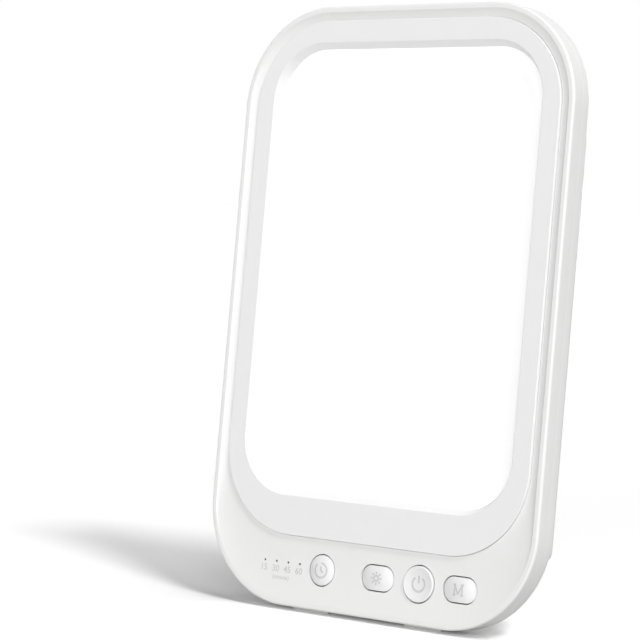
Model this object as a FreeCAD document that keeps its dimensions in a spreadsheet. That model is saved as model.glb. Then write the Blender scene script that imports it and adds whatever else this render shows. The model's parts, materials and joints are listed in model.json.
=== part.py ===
import FreeCAD, Part
import math
import os
import Sketcher

# Light therapy lamp: a slim upright panel that leans back on a folding rear leg.
#
# Every piece of the panel is drawn in the panel's own upright axes: X to the viewer's right, Z up from
# the bottom edge, and depth along +Y, counted from the front plane. The placement LEANING then tips the
# piece back and sets the lamp on the table. The leg has one turn more, about its hinge.

Vector = FreeCAD.Vector
Rotation = FreeCAD.Rotation
Placement = FreeCAD.Placement

doc = FreeCAD.newDocument("LightTherapyLamp")
sheet = doc.addObject("Spreadsheet::Sheet", "Sizes")

DIMENSIONS = {
    # panel outline, lean and stance; the datum is the bottom edge and every turned piece's axis
    "datum": 0, "panel_width": 145, "panel_height": 220, "panel_radius": 36.6, "panel_middle": 110,
    "lean": 8, "lift": 1.7, "set_back": -25.3,
    # front bezel: rim, cove, seat for the trim frame, walls
    "rim_width": 2.4, "rim_bevel": 0.8, "wall": 2, "bezel_depth": 6, "skin_depth": 3.3,
    "cove_width": 138.1, "cove_height": 206.3, "cove_radius": 33.4, "cove_middle": 113.6,
    "cove_depth": 0.69, "seat_edge": 1.2, "ledge_width": 3.5,
    # trim frame round the light
    "plate_width": 133.5, "plate_height": 188.9, "plate_radius": 31.5, "plate_middle": 120.25,
    "plate_gap": 0.3, "plate_depth": 0.7, "plate_thick": 1.2,
    "window_width": 118.2, "window_height": 166.6, "window_radius": 21, "window_middle": 123.4,
    "bevel_run": 2.2, "skirt_wall": 1.2,
    # light stack
    "stack_width": 122, "stack_height": 170.6, "stack_radius": 20, "stack_middle": 123.4,
    "diffuser_depth": 3.9, "diffuser_thick": 1, "guide_thick": 2.5, "reflector_thick": 0.2,
    "tray_width": 128, "tray_height": 172.8, "tray_radius": 22, "tray_middle": 123.4,
    "tray_front": 4.6, "tray_gauge": 0.8,
    "strip_length": 126, "strip_gauge": 0.8, "chip_pitch": 9, "chip_count": 14,
    "chip_long": 3.5, "chip_deep": 1.8, "chip_thick": 0.8,
    # rear cover: wall, locating lip, raised deck, recess of the leg
    "cover_front": 6.05, "cover_back": 10.2, "cover_bevel": 0.9, "cover_inside": 8.5,
    "lip_clearance": 0.15, "lip_thick": 1.2, "lip_reach": 1.2,
    "deck_width": 135.6, "deck_height": 151, "deck_radius": 6, "deck_middle": 102.5,
    "deck_back": 18, "deck_wall": 2, "deck_inside": 16.4, "deck_bevel": 1.4,
    "recess_floor": 12, "recess_shell": 1.5, "recess_top": 111.6, "recess_bottom": 26,
    "shell_bottom": 28, "shell_top": 113.1, "hinge_boss_reach": 28, "hinge_boss_half": 3.5,
    # folding leg, its hinge and its stop
    "hinge_height": 104, "hinge_depth": 15.2, "leg_bottom": 1, "leg_top_half": 22, "leg_foot_half": 27,
    "leg_gap": 0.5, "leg_inner": 12.4, "leg_skin": 2, "leg_wall": 2, "leg_corner": 8,
    "hollow_foot_half": 24.2, "rib_first": 32, "rib_pitch": 21, "rib_thick": 1.6,
    "barrel_radius": 2.8, "pin_radius": 1.5, "pin_clearance": 0.05, "pin_fit": 0.02, "pin_length": 55,
    "foot_reach": 104.2, "foot_pad_half": 24, "foot_pad_inset": 0.6,
    "lug_half": 8, "lug_height": 6, "stop_gap": 0.05,
    # control row on the chin
    "row_height": 14.6, "button_gap": 0.5, "button_crest": 0.1, "pill_bevel": 0.6,
    "timer_x": -18.7, "timer_radius": 5.5, "timer_flat": 3.5, "timer_shoulder": 0.55,
    "power_x": 24.4, "power_radius": 6.4, "power_land": 5.7, "dish_radius": 4.4, "dish_floor": 0.5,
    "brightness_x": 6.3, "mode_x": 41.9, "pill_width": 14.1, "pill_height": 8.8,
    "flange_depth": 3.35, "flange_thick": 0.8, "flange_reach": 1.1,
    "stem_radius": 1.5, "stem_end": 5.4, "stem_clearance": 0.1,
    "switch_half": 3, "switch_front": 5, "switch_floor": 6,
    "dot_first_x": -45.25, "dot_pitch": 5.4, "dot_height": 15.7, "dot_radius": 0.35, "dot_clearance": 0.07,
    "dot_front": 1.1, "dot_led_long": 0.8, "dot_led_half": 0.45, "dot_led_thick": 0.6,
    "pipe_back": 4.2, "pipe_half": 1.4,
    # control board, driver board and their fixings
    "board_width": 104, "board_height": 27, "board_radius": 4, "board_middle": 21,
    "board_front": 6.6, "board_thick": 1, "board_screw_x": 47.5, "board_screw_high": 26.6,
    "board_screw_mid_x": -6.6, "board_screw_low": 12, "board_boss": 2, "board_pilot": 0.85,
    "board_hole": 1.05, "small_head": 1.7, "small_head_tall": 0.8, "screw_gap": 0.05,
    "driver_width": 68, "driver_height": 42, "driver_middle": 143, "driver_front": 11.4,
    "driver_thick": 1.2, "driver_screw_x": 29, "driver_screw_z": 16, "driver_screw_long": 3.9,
    # housing screws
    "boss_radius": 2.5, "boss_back": 8.4, "pilot_radius": 1.1, "pilot_bottom": 3.8,
    "screw_top_x": 32, "screw_top": 213.6, "screw_low_x": 59, "screw_low": 21.5, "screw_head": 2.3,
    "screw_seat": 9.3, "screw_tip": 3.9, "screw_clearance": 0.3,
    # power jack and the tall parts of the driver board
    "jack_height": 60, "jack_depth": 13.2, "jack_nose": 3.2, "jack_bore": 2.75, "jack_pin": 1,
    "jack_half": 4.5, "jack_length": 12, "jack_bore_deep": 9.6, "jack_pin_long": 9, "jack_clearance": 0.1,
    "coil_x": -8.5, "coil_radius": 4.5, "can_x": 8.5, "can_pitch": 10.2, "can_radius": 3, "part_tall": 3.5,
    # flat leads and their sockets
    "lead_depth": 8.9, "lead_gauge": 1, "lead_wide": 4, "lead_overlap": 4.8, "lead_margin": 8,
    "socket_wide": 6, "socket_tall": 5, "led_socket_low": 147,
    "signal_x": 25, "signal_wide": 10, "board_socket_low": 30, "board_socket_tall": 4.3,
    # rubber feet
    "pad_near": 17, "pad_far": 33, "pad_front": 4.5, "pad_back": 8.9,
}

# Small hidden rounds, such as screws and their posts, are drawn with this many straight sides.
SMALL_ROUND_SIDES = 12

for row, (name, millimetres) in enumerate(DIMENSIONS.items(), start=1):
    sheet.set(f"A{row}", str(millimetres))
    sheet.setAlias(f"A{row}", name)
doc.recompute()


class Total:
    """A sum of sheet cells, each with a factor: its present value and the expression that binds it."""

    def __init__(self, **factors):
        self.factors = factors
        self.value = sum(factor * getattr(sheet, name) for name, factor in factors.items())
        self.expression = " + ".join(f"{factor} * Sizes.{name}" for name, factor in factors.items())

    def plus(self, other, share):
        """This sum and the given share of another one."""
        factors = dict(self.factors)
        for name, factor in other.factors.items():
            factors[name] = round(factors.get(name, 0) + share * factor, 9)
        return Total(**factors)

    def negated(self):
        return Total(**{name: -factor for name, factor in self.factors.items()})


def cell(name):
    return Total(**{name: 1})


def bind(thing, slot, total):
    """Bind one property or constraint to the sheet."""
    thing.setExpression(slot, total.expression)


# ------------------------------------------------------------------------------------ placements

LEANING = Placement(Vector(0, sheet.set_back, sheet.lift), Rotation(Vector(1, 0, 0), -sheet.lean))

# The leg reaches the table when its foot is as far below the hinge as the table is.
lean_radians = math.radians(sheet.lean)
hinge_above_table = (sheet.lift + sheet.hinge_height * math.cos(lean_radians)
                     - sheet.hinge_depth * math.sin(lean_radians))
leg_tilt = math.degrees(math.acos(hinge_above_table / sheet.foot_reach))
leg_opening = leg_tilt + sheet.lean
HINGE = Vector(0, sheet.hinge_depth, sheet.hinge_height)
STANDING = LEANING.multiply(Placement(HINGE, Rotation(Vector(1, 0, 0), leg_opening)))
STANDING = STANDING.multiply(Placement(-HINGE, Rotation()))

parts = []


def finished(piece, label, placement=LEANING):
    """Name a finished piece, put it in its place and list it for export."""
    piece.Label = label
    piece.Placement = placement
    parts.append(piece)
    return piece


# --------------------------------------------------------------------------- sketches and features

def new_body(label, placement=LEANING):
    body = doc.addObject("PartDesign::Body", "Body_" + label)
    return finished(body, label, placement)


def plane_sketch(body, name, role, offset):
    """Sketch on one of the body's own origin planes, moved along that plane's normal."""
    plane = [feature for feature in body.Origin.OriginFeatures if feature.Role == role][0]
    sketch = body.newObject("Sketcher::SketchObject", name)
    sketch.AttachmentSupport = (plane, [""])
    sketch.MapMode = "FlatFace"
    if offset is not None:
        bind(sketch, "AttachmentOffset.Base.z", offset)
    return sketch


def face_sketch(body, name, **depth):
    """Sketch parallel to the lamp's front, at the given depth behind it."""
    away = {alias: -factor for alias, factor in depth.items()}
    return plane_sketch(body, name, "XZ_Plane", Total(**away) if away else None)


def side_sketch(body, name):
    """Sketch on the middle plane: its first axis is depth, its second is height."""
    return plane_sketch(body, name, "YZ_Plane", None)


def held_at(sketch, geometry, point, across, up):
    """Hold a sketch point at the given place from the sketch's origin."""
    for kind, total in (("DistanceX", across), ("DistanceY", up)):
        index = sketch.addConstraint(Sketcher.Constraint(kind, -1, 1, geometry, point, total.value))
        bind(sketch, f"Constraints[{index}]", total)


def spaced(sketch, kind, first, second, total):
    """Set the distance between two sketch points, each a geometry and a point number."""
    index = sketch.addConstraint(Sketcher.Constraint(kind, *first, *second, total.value))
    bind(sketch, f"Constraints[{index}]", total)


def sized(sketch, geometry, radius):
    index = sketch.addConstraint(Sketcher.Constraint("Radius", geometry, radius.value))
    bind(sketch, f"Constraints[{index}]", radius)


def arc_about(centre, radius, start, end):
    circle = Part.Circle(centre, Vector(0, 0, 1), radius)
    return Part.ArcOfCircle(circle, math.radians(start), math.radians(end))


def outline(sketch, name, **grown):
    """Rounded rectangle NAME of the sheet, upright and centred on X, grown by the given sizes."""
    across = Total(**{name + "_width": 1}, **{alias: 2 * k for alias, k in grown.items()})
    tall = Total(**{name + "_height": 1}, **{alias: 2 * k for alias, k in grown.items()})
    corner = Total(**{name + "_radius": 1}, **grown)
    right = Total(**{name + "_width": 0.5}, **grown)
    top = Total(**{name + "_middle": 1, name + "_height": 0.5}, **grown)
    x, z, r = right.value, top.value, corner.value
    low = z - tall.value
    first = sketch.addGeometry([
        Part.LineSegment(Vector(r - x, low, 0), Vector(x - r, low, 0)),
        arc_about(Vector(x - r, low + r, 0), r, 270, 360),
        Part.LineSegment(Vector(x, low + r, 0), Vector(x, z - r, 0)),
        arc_about(Vector(x - r, z - r, 0), r, 0, 90),
        Part.LineSegment(Vector(x - r, z, 0), Vector(r - x, z, 0)),
        arc_about(Vector(r - x, z - r, 0), r, 90, 180),
        Part.LineSegment(Vector(-x, z - r, 0), Vector(-x, low + r, 0)),
        arc_about(Vector(r - x, low + r, 0), r, 180, 270),
    ], False)[0]
    for step in range(8):
        here, following = first + step, first + (step + 1) % 8
        sketch.addConstraint(Sketcher.Constraint("Tangent", here, 2, following, 1))
    for step in (0, 4):
        sketch.addConstraint(Sketcher.Constraint("Horizontal", first + step))
        sketch.addConstraint(Sketcher.Constraint("Vertical", first + step + 2))
    for step in (3, 5, 7):
        sketch.addConstraint(Sketcher.Constraint("Equal", first + 1, first + step))
    sized(sketch, first + 1, corner)
    spaced(sketch, "DistanceX", (first + 6, 1), (first + 2, 1), across)
    spaced(sketch, "DistanceY", (first, 1), (first + 4, 1), tall)
    spaced(sketch, "DistanceX", (-1, 1), (first + 2, 1), right)
    spaced(sketch, "DistanceY", (-1, 1), (first + 4, 1), top)


def circle(sketch, across, up, radius):
    shape = Part.Circle(Vector(across.value, up.value, 0), Vector(0, 0, 1), radius.value)
    index = sketch.addGeometry(shape, False)
    held_at(sketch, index, 3, across, up)
    sized(sketch, index, radius)


def pill(sketch, where, **grown):
    """Round-ended slot of a pill button, lying flat about the cell WHERE, grown by the given sizes."""
    radius = Total(pill_height=0.5, **grown)
    reach = Total(pill_width=0.5, pill_height=-0.5).value
    x, z, r = cell(where).value, sheet.row_height, radius.value
    first = sketch.addGeometry([
        Part.LineSegment(Vector(x - reach, z - r, 0), Vector(x + reach, z - r, 0)),
        arc_about(Vector(x + reach, z, 0), r, -90, 90),
        Part.LineSegment(Vector(x + reach, z + r, 0), Vector(x - reach, z + r, 0)),
        arc_about(Vector(x - reach, z, 0), r, 90, 270),
    ], False)[0]
    for step in range(4):
        here, following = first + step, first + (step + 1) % 4
        sketch.addConstraint(Sketcher.Constraint("Tangent", here, 2, following, 1))
    sketch.addConstraint(Sketcher.Constraint("Horizontal", first))
    sketch.addConstraint(Sketcher.Constraint("Equal", first + 1, first + 3))
    sized(sketch, first + 1, radius)
    spaced(sketch, "DistanceX", (first + 3, 3), (first + 1, 3), Total(pill_width=1, pill_height=-1))
    right_end = Total(**{where: 1}, pill_width=0.5, pill_height=-0.5)
    held_at(sketch, first + 1, 3, right_end, cell("row_height"))


def polygon(sketch, corners):
    """Closed outline of straight lines through the given corners, each a pair of totals."""
    points = [Vector(across.value, up.value, 0) for across, up in corners]
    edges = [Part.LineSegment(point, points[(index + 1) % len(points)]) for index, point in enumerate(points)]
    first = sketch.addGeometry(edges, False)[0]
    for index, (across, up) in enumerate(corners):
        following = first + (index + 1) % len(corners)
        sketch.addConstraint(Sketcher.Constraint("Coincident", first + index, 2, following, 1))
        held_at(sketch, first + index, 1, across, up)


def rectangle(sketch, left, low, right, high):
    polygon(sketch, [(left, low), (right, low), (right, high), (left, high)])


def small_round(sketch, across, up, radius):
    """Regular outline with few sides, in place of a small circle that nobody sees."""
    turns = [2 * math.pi * step / SMALL_ROUND_SIDES for step in range(SMALL_ROUND_SIDES)]
    polygon(sketch, [(across.plus(radius, math.cos(turn)), up.plus(radius, math.sin(turn)))
                     for turn in turns])


def grow(body, sketch, length, forward=False, both_ways=False):
    """Pad a sketch towards the back, or forward, or evenly both ways."""
    feature = body.newObject("PartDesign::Pad", sketch.Name + "_pad")
    feature.Profile = sketch
    feature.Reversed = not forward
    if both_ways:
        feature.SideType = "Symmetric"
    bind(feature, "Length", length)
    doc.recompute()
    return feature


def carve(body, sketch, length, forward=False, both_ways=False):
    """Cut a sketch out of the body towards the back, or forward, and prove that it cut."""
    before = body.Shape.Volume
    feature = body.newObject("PartDesign::Pocket", sketch.Name + "_pocket")
    feature.Profile = sketch
    feature.Reversed = forward
    if both_ways:
        feature.SideType = "Symmetric"
    bind(feature, "Length", length)
    doc.recompute()
    if body.Shape.Volume >= before:
        raise ValueError(f"{feature.Name} in {body.Label} cuts nothing")
    return feature


def loft_cut(body, sections):
    """Cut the smooth loft through two or more outlines out of the body."""
    before = body.Shape.Volume
    feature = body.newObject("PartDesign::SubtractiveLoft", sections[0].Name + "_loft")
    feature.Profile = sections[0]
    feature.Sections = sections[1:]
    doc.recompute()
    if body.Shape.Volume >= before:
        raise ValueError(f"{feature.Name} in {body.Label} cuts nothing")
    return feature


def edges_of(base, chosen):
    """The feature with the names of its edges for which chosen(edge) holds."""
    return base, [f"Edge{number}" for number, edge in enumerate(base.Shape.Edges, start=1) if chosen(edge)]


def rounded(body, base, chosen, radius):
    """Round the chosen edges of the last feature."""
    feature = body.newObject("PartDesign::Fillet", base.Name + "_round")
    feature.Base = edges_of(base, chosen)
    bind(feature, "Radius", radius)
    doc.recompute()


def bevelled(body, base, chosen, size):
    """Cut the chosen edges of the last feature to an even bevel."""
    feature = body.newObject("PartDesign::Chamfer", base.Name + "_bevel")
    feature.Base = edges_of(base, chosen)
    bind(feature, "Size", size)
    doc.recompute()


def lies_at_depth(edge, depth):
    """True for an edge that lies wholly at the given depth behind the front plane."""
    box = edge.BoundBox
    return abs(box.YMin - depth) < 1e-4 and abs(box.YMax - depth) < 1e-4


def block(label, left, front, low, wide, deep, tall):
    """Plain box piece, given by its lowest corner and its sizes."""
    piece = doc.addObject("Part::Box", "Box_" + label)
    bind(piece, "Length", wide)
    bind(piece, "Width", deep)
    bind(piece, "Height", tall)
    corner = Placement(Vector(left.value, front.value, low.value), Rotation())
    return finished(piece, label, LEANING.multiply(corner))


# ------------------------------------------------------------------------------------ front bezel

def housing_screw_places():
    """Centres of the four housing screws: two under the top edge, two beside the chin."""
    places = [(Total(screw_top_x=side), cell("screw_top")) for side in (-1, 1)]
    return places + [(Total(screw_low_x=side), cell("screw_low")) for side in (-1, 1)]


def board_screw_places():
    """Centres of the control board's screws: two in its upper corners, one between two buttons."""
    places = [(Total(board_screw_x=side), cell("board_screw_high")) for side in (-1, 1)]
    return places + [(cell("board_screw_mid_x"), cell("board_screw_low"))]


def driver_screw_places():
    """Centres of the driver board's screws, in two opposite corners."""
    return [(Total(driver_screw_x=side), Total(driver_middle=1, driver_screw_z=side)) for side in (-1, 1)]


def dot_places():
    return [(Total(dot_first_x=1, dot_pitch=step), cell("dot_height")) for step in range(4)]


def make_front_bezel():
    """Shell with a bevelled rim, a cove that widens into the chin, and a seat for the trim frame."""
    body = new_body("front_bezel")
    face = face_sketch(body, "bezel_outline")
    outline(face, "panel")
    slab = grow(body, face, cell("bezel_depth"))
    bevelled(body, slab, lambda edge: lies_at_depth(edge, 0), cell("rim_bevel"))

    rim = face_sketch(body, "cove_rim")
    outline(rim, "panel", rim_width=-1)
    middle = face_sketch(body, "cove_middle_outline", cove_depth=1)
    outline(middle, "cove")
    seat = face_sketch(body, "cove_foot", seat_edge=1)
    outline(seat, "plate", plate_gap=1)
    loft_cut(body, [rim, middle, seat])

    seat_well = face_sketch(body, "frame_seat", seat_edge=1)
    outline(seat_well, "plate", plate_gap=1)
    carve(body, seat_well, Total(plate_depth=1, plate_thick=1, seat_edge=-1))
    opening = face_sketch(body, "light_opening", plate_depth=1)
    outline(opening, "plate", ledge_width=-1)
    carve(body, opening, cell("bezel_depth"))

    inside = face_sketch(body, "bezel_inside", bezel_depth=1)
    outline(inside, "panel", wall=-1)
    carve(body, inside, Total(bezel_depth=1, skin_depth=-1), forward=True)

    holes = face_sketch(body, "button_holes")
    circle(holes, cell("timer_x"), cell("row_height"), Total(timer_radius=1, button_gap=1))
    circle(holes, cell("power_x"), cell("row_height"), Total(power_radius=1, button_gap=1))
    pill(holes, "brightness_x", button_gap=1)
    pill(holes, "mode_x", button_gap=1)
    for across, up in dot_places():
        small_round(holes, across, up, Total(dot_radius=1, dot_clearance=1))
    carve(body, holes, cell("bezel_depth"))

    posts = face_sketch(body, "housing_posts", skin_depth=1)
    for across, up in housing_screw_places():
        small_round(posts, across, up, cell("boss_radius"))
    grow(body, posts, Total(boss_back=1, skin_depth=-1))
    pilots = face_sketch(body, "housing_pilots", boss_back=1)
    for across, up in housing_screw_places():
        small_round(pilots, across, up, cell("pilot_radius"))
    carve(body, pilots, Total(boss_back=1, pilot_bottom=-1), forward=True)

    pillars = face_sketch(body, "board_pillars", skin_depth=1)
    for across, up in board_screw_places():
        small_round(pillars, across, up, cell("board_boss"))
    grow(body, pillars, Total(board_front=1, skin_depth=-1))
    board_pilots = face_sketch(body, "board_pilots", board_front=1)
    for across, up in board_screw_places():
        small_round(board_pilots, across, up, cell("board_pilot"))
    carve(body, board_pilots, Total(board_front=1, skin_depth=-1), forward=True)


def make_diffuser_frame():
    """Flat trim plate whose window slopes in to the diffuser, with a skirt behind it."""
    body = new_body("diffuser_frame")
    plate = face_sketch(body, "frame_plate", plate_depth=1)
    outline(plate, "plate")
    grow(body, plate, cell("plate_thick"))
    skirt = face_sketch(body, "frame_skirt", plate_depth=1, plate_thick=1)
    outline(skirt, "window", skirt_wall=1)
    grow(body, skirt, Total(diffuser_depth=1, plate_depth=-1, plate_thick=-1))
    mouth = face_sketch(body, "window_mouth", plate_depth=1)
    outline(mouth, "window")
    throat = face_sketch(body, "window_throat", diffuser_depth=1)
    outline(throat, "window", bevel_run=-1)
    loft_cut(body, [mouth, throat])


# ------------------------------------------------------------------------------------ light stack

def make_sheet(label, thickness, **depth):
    """One flat sheet of the light stack."""
    body = new_body(label)
    face = face_sketch(body, label + "_outline", **depth)
    outline(face, "stack")
    grow(body, face, cell(thickness))


def make_tray():
    """Folded aluminium tray that holds the sheets and carries the LED strips."""
    body = new_body("backlight_tray")
    face = face_sketch(body, "tray_outline", tray_front=1)
    outline(face, "tray")
    grow(body, face, Total(diffuser_depth=1, diffuser_thick=1, guide_thick=1, reflector_thick=1,
                           tray_gauge=1, tray_front=-1))
    well = face_sketch(body, "tray_well", tray_front=1)
    outline(well, "tray", tray_gauge=-1)
    carve(body, well, Total(diffuser_depth=1, diffuser_thick=1, guide_thick=1, reflector_thick=1,
                            tray_front=-1))


def make_led_strip(side_name, side):
    """Narrow circuit strip on the tray's side wall, with a row of edge LEDs facing the light guide."""
    low = Total(stack_middle=1, strip_length=-0.5)
    near = Total(tray_width=0.5, tray_gauge=-1, strip_gauge=-1)
    left = near if side > 0 else Total(tray_width=-0.5, tray_gauge=1)
    front = Total(diffuser_depth=1, diffuser_thick=1)
    block("led_strip_" + side_name, left, front, low, cell("strip_gauge"), cell("guide_thick"),
          cell("strip_length"))

    body = new_body("led_chips_" + side_name)
    face = face_sketch(body, f"chip_{side_name}", diffuser_depth=1, diffuser_thick=1, guide_thick=0.5,
                       chip_deep=-0.5)
    inner = {"tray_width": 0.5 * side, "tray_gauge": -side, "strip_gauge": -side}
    outer_edge = Total(**inner)
    inner_edge = Total(**inner, chip_thick=-side)
    to_lowest = -0.5 * (sheet.chip_count - 1)
    bottom = Total(stack_middle=1, chip_pitch=to_lowest, chip_long=-0.5)
    top = Total(stack_middle=1, chip_pitch=to_lowest, chip_long=0.5)
    rectangle(face, inner_edge, bottom, outer_edge, top)
    chip = grow(body, face, cell("chip_deep"))
    row_of_chips = body.newObject("PartDesign::LinearPattern", f"chip_row_{side_name}")
    row_of_chips.Originals = [chip]
    row_of_chips.Direction = (face, ["V_Axis"])
    row_of_chips.Mode = "Spacing"
    bind(row_of_chips, "Offset", cell("chip_pitch"))
    bind(row_of_chips, "Occurrences", cell("chip_count"))
    body.Tip = row_of_chips
    doc.recompute()


# ---------------------------------------------------------------------------------------- buttons

def add_flange(body, name, half_wide, half_tall):
    """Square-cornered flange behind a cap, which keeps it from coming out through its hole."""
    sketch = face_sketch(body, name + "_flange", flange_depth=1)
    centre, row = cell(name + "_x"), cell("row_height")
    rectangle(sketch, centre.plus(half_wide, -1), row.plus(half_tall, -1),
              centre.plus(half_wide, 1), row.plus(half_tall, 1))
    grow(body, sketch, cell("flange_thick"))


def make_round_button(name, front):
    """Turned cap: its front is given from the centre to the rim, as pairs of radius and depth."""
    body = new_body(name + "_button")
    profile = plane_sketch(body, name + "_profile", "XY_Plane", cell("row_height"))
    bind(profile, "AttachmentOffset.Base.x", cell(name + "_x"))
    back = cell("flange_depth")
    polygon(profile, front + [(cell(name + "_radius"), back), (cell("datum"), back)])
    turned = body.newObject("PartDesign::Revolution", name + "_turned")
    turned.Profile = profile
    turned.ReferenceAxis = (profile, ["V_Axis"])
    turned.Angle = 360
    doc.recompute()
    half = Total(**{name + "_radius": 1}, flange_reach=1)
    add_flange(body, name, half, half)


def make_timer_button():
    """Round cap with a raised middle that slopes away to its rim."""
    crest = cell("button_crest")
    make_round_button("timer", [(cell("datum"), crest), (cell("timer_flat"), crest),
                                (cell("timer_radius"), cell("timer_shoulder"))])


def make_power_button():
    """Larger round cap with a narrow land round a shallow dish for the fingertip."""
    crest, floor = cell("button_crest"), cell("dish_floor")
    make_round_button("power", [(cell("datum"), floor), (cell("dish_radius"), floor),
                                (cell("power_land"), crest), (cell("power_radius"), crest)])


def make_pill_button(name):
    """Pill-shaped cap with bevelled edges and a flange behind it."""
    body = new_body(name + "_button")
    sketch = face_sketch(body, name + "_cap", button_crest=1)
    pill(sketch, name + "_x")
    cap = grow(body, sketch, Total(flange_depth=1, button_crest=-1))
    bevelled(body, cap, lambda edge: lies_at_depth(edge, sheet.button_crest), cell("pill_bevel"))
    add_flange(body, name, Total(pill_width=0.5, flange_reach=1), Total(pill_height=0.5, flange_reach=1))


def make_push_switch(name):
    """Push switch on the control board: a square case with a blind bore, and the stem that slides in it."""
    where = name + "_x"
    case = new_body(name + "_switch")
    face = face_sketch(case, name + "_case", switch_front=1)
    rectangle(face, Total(**{where: 1}, switch_half=-1), Total(row_height=1, switch_half=-1),
              Total(**{where: 1}, switch_half=1), Total(row_height=1, switch_half=1))
    grow(case, face, Total(board_front=1, switch_front=-1))
    bore = face_sketch(case, name + "_bore", switch_front=1)
    small_round(bore, cell(where), cell("row_height"), Total(stem_radius=1, stem_clearance=1))
    carve(case, bore, Total(switch_floor=1, switch_front=-1))

    stem = new_body(name + "_switch_stem")
    end = face_sketch(stem, name + "_stem", flange_depth=1, flange_thick=1)
    small_round(end, cell(where), cell("row_height"), cell("stem_radius"))
    grow(stem, end, Total(stem_end=1, flange_depth=-1, flange_thick=-1))


# ---------------------------------------------------------------------------- boards and fittings

def make_control_board():
    body = new_body("control_board")
    face = face_sketch(body, "board_outline", board_front=1)
    outline(face, "board")
    grow(body, face, cell("board_thick"))
    holes = face_sketch(body, "board_holes", board_front=1)
    for across, up in board_screw_places():
        small_round(holes, across, up, cell("board_hole"))
    carve(body, holes, cell("board_thick"))


def make_light_pipe():
    """Clear bar behind the chin with four pins that fill the indicator holes."""
    body = new_body("light_pipe")
    pins = face_sketch(body, "pipe_pins", dot_front=1)
    for across, up in dot_places():
        small_round(pins, across, up, cell("dot_radius"))
    grow(body, pins, Total(flange_depth=1, dot_front=-1))
    bar = face_sketch(body, "pipe_bar", flange_depth=1)
    rectangle(bar, Total(dot_first_x=1, pipe_half=-1), Total(dot_height=1, pipe_half=-1),
              Total(dot_first_x=1, dot_pitch=3, pipe_half=1), Total(dot_height=1, pipe_half=1))
    grow(body, bar, Total(pipe_back=1, flange_depth=-1))


def make_timer_leds():
    """Four small indicator LEDs on the control board, one under each pin of the light pipe."""
    body = new_body("timer_leds")
    face = face_sketch(body, "timer_led", board_front=1)
    rectangle(face, Total(dot_first_x=1, dot_led_long=-0.5), Total(dot_height=1, dot_led_half=-1),
              Total(dot_first_x=1, dot_led_long=0.5), Total(dot_height=1, dot_led_half=1))
    chip = grow(body, face, cell("dot_led_thick"), forward=True)
    row_of_leds = body.newObject("PartDesign::LinearPattern", "timer_led_row")
    row_of_leds.Originals = [chip]
    row_of_leds.Direction = (face, ["H_Axis"])
    row_of_leds.Mode = "Spacing"
    bind(row_of_leds, "Offset", cell("dot_pitch"))
    row_of_leds.Occurrences = 4
    body.Tip = row_of_leds
    doc.recompute()


def make_driver_board():
    """LED driver board, held on two standoffs of the rear deck."""
    body = new_body("driver_board")
    face = face_sketch(body, "driver_outline", driver_front=1)
    rectangle(face, Total(driver_width=-0.5), Total(driver_middle=1, driver_height=-0.5),
              Total(driver_width=0.5), Total(driver_middle=1, driver_height=0.5))
    grow(body, face, cell("driver_thick"))
    holes = face_sketch(body, "driver_holes", driver_front=1)
    for across, up in driver_screw_places():
        small_round(holes, across, up, cell("board_hole"))
    carve(body, holes, cell("driver_thick"))


def make_power_jack():
    """Barrel socket in the left side of the deck: case, round nose, blind bore and centre pin."""
    body = new_body("power_jack")
    case = plane_sketch(body, "jack_case", "YZ_Plane", Total(deck_width=-0.5, deck_wall=1, lip_clearance=1))
    rectangle(case, Total(jack_depth=1, jack_nose=-1), Total(jack_height=1, jack_half=-1),
              Total(jack_depth=1, jack_nose=1), Total(jack_height=1, jack_half=1))
    grow(body, case, cell("jack_length"), forward=True)
    nose = plane_sketch(body, "jack_nose_end", "YZ_Plane", Total(deck_width=-0.5, lip_clearance=1))
    circle(nose, cell("jack_depth"), cell("jack_height"), cell("jack_nose"))
    grow(body, nose, cell("deck_wall"), forward=True)
    mouth = plane_sketch(body, "jack_mouth", "YZ_Plane", Total(deck_width=-0.5, lip_clearance=1))
    circle(mouth, cell("jack_depth"), cell("jack_height"), cell("jack_bore"))
    carve(body, mouth, cell("jack_bore_deep"), forward=True)
    pin = plane_sketch(body, "jack_centre_pin", "YZ_Plane", Total(deck_width=-0.5, deck_wall=1))
    circle(pin, cell("jack_depth"), cell("jack_height"), cell("jack_pin"))
    grow(body, pin, cell("jack_pin_long"), forward=True)


# ------------------------------------------------------------------------------------ folding leg

def leg_plan(low, high, **extra):
    """Corners of the leg's tapered outline between two height cells, widened by the given sizes."""
    share = (sheet.hinge_height - getattr(sheet, low)) / (sheet.hinge_height - sheet.leg_bottom)
    wide = Total(leg_top_half=1 - share, leg_foot_half=share, **extra)
    narrow = Total(leg_top_half=1, **extra)
    shoulder, foot, top = cell("hinge_height"), cell(low), cell(high)
    return [(wide.negated(), foot), (wide, foot), (narrow, shoulder), (narrow, top),
            (narrow.negated(), top), (narrow.negated(), shoulder)]


def when_open(ahead, above):
    """Depth and height, in the folded leg, of a point given ahead of and above the hinge of the open leg."""
    turn = math.radians(leg_opening)
    depth = cell("hinge_depth").plus(ahead, -math.cos(turn)).plus(above, math.sin(turn))
    height = cell("hinge_height").plus(ahead, math.sin(turn)).plus(above, math.cos(turn))
    return depth, height


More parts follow.
